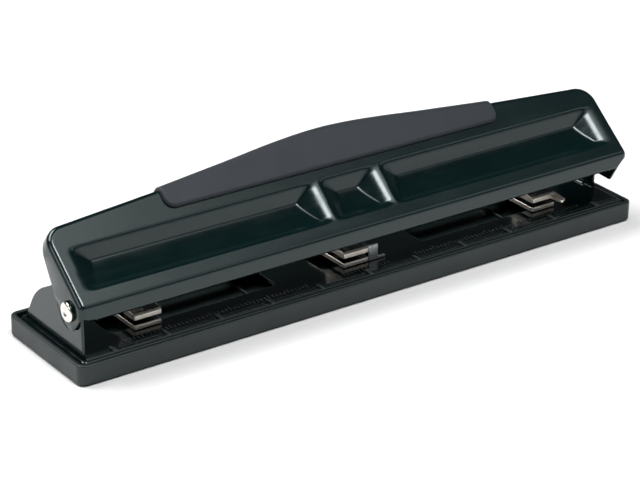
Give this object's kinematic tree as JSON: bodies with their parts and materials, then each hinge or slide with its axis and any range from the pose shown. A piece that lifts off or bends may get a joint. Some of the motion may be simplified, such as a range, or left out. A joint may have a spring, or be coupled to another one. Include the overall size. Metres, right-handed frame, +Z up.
{
  "type": "desktop three-hole paper punch",
  "caption": "Desktop paper punch: a padded steel lever on two rivets drives sprung pins through adjustable heads over a chip tray.",
  "frame": {"origin": "centre of the bounding box's foot, on the floor", "axes": "+Z up, +X along the length, -Y the side the paper goes in from"},
  "size_m": [0.3, 0.0604, 0.0677],
  "materials": {
    "tray_plastic": "satin black moulded plastic",
    "frame_enamel": "gloss black enamel on folded steel",
    "lever_enamel": "gloss black enamel on pressed steel",
    "pad_foam": "soft matte dark grey",
    "nickel": "bright nickel plate",
    "pin_steel": "ground steel",
    "spring_steel": "drawn wire",
    "rivet_nickel": "polished nickel plate",
    "zinc": "bright zinc plate"
  },
  "bodies": {
    "frame": {"base_frame": "frame_enamel", "pivot_rivet_left": "rivet_nickel", "pivot_rivet_right": "rivet_nickel", "punch_head_centre": "nickel", "clamp_screw_centre": "zinc", "clamp_nut_centre": "zinc", "return_spring_centre": "spring_steel", "gauge_tab_centre": "zinc"},
    "tray": {"chip_tray": "tray_plastic"},
    "lever": {"lever_handle": "lever_enamel", "grip_pad": "pad_foam", "presser_bar": "zinc"},
    "head_left": {"punch_head_left": "nickel", "clamp_screw_left": "zinc", "clamp_nut_left": "zinc", "return_spring_left": "spring_steel"},
    "head_right": {"punch_head_right": "nickel", "pointer_tab_right": "nickel", "clamp_screw_right": "zinc", "clamp_nut_right": "zinc", "return_spring_right": "spring_steel"},
    "pin_left": {"punch_pin_left": "pin_steel", "retaining_ring_left": "zinc"},
    "pin_centre": {"punch_pin_centre": "pin_steel", "retaining_ring_centre": "zinc"},
    "pin_right": {"punch_pin_right": "pin_steel", "retaining_ring_right": "zinc"}
  },
  "joints": [
    {"name": "lever_press", "type": "hinge", "parent": "frame", "child": "lever", "pos_m": [0, -0.0163, 0.0292], "axis": [-1, 0, 0], "range_deg": [0, 18], "stiffness_Nm_per_rad": 1.2, "springref_deg": -14.32},
    {"name": "tray_release", "type": "slide", "parent": "frame", "child": "tray", "axis": [0, 0, 1], "range_m": [-0.015, 0]},
    {"name": "head_left_adjust", "type": "slide", "parent": "frame", "child": "head_left", "axis": [1, 0, 0], "range_m": [0, 0.055]},
    {"name": "head_right_adjust", "type": "slide", "parent": "frame", "child": "head_right", "axis": [1, 0, 0], "range_m": [-0.055, 0]},
    {"name": "pin_left_punch", "type": "slide", "parent": "head_left", "child": "pin_left", "axis": [0, 0, 1], "range_m": [-0.0052, 0], "stiffness_N_per_m": 300, "springref_m": 0.003, "deforming": ["return_spring_left"]},
    {"name": "pin_centre_punch", "type": "slide", "parent": "frame", "child": "pin_centre", "axis": [0, 0, 1], "range_m": [-0.0052, 0], "stiffness_N_per_m": 300, "springref_m": 0.003, "deforming": ["return_spring_centre"]},
    {"name": "pin_right_punch", "type": "slide", "parent": "head_right", "child": "pin_right", "axis": [0, 0, 1], "range_m": [-0.0052, 0], "stiffness_N_per_m": 300, "springref_m": 0.003, "deforming": ["return_spring_right"]}
  ],
  "couplings": [
    {"joint": "pin_left_punch", "follows": "lever_press", "m_per_rad": -0.0162},
    {"joint": "pin_centre_punch", "follows": "lever_press", "m_per_rad": -0.0162},
    {"joint": "pin_right_punch", "follows": "lever_press", "m_per_rad": -0.0162}
  ]
}
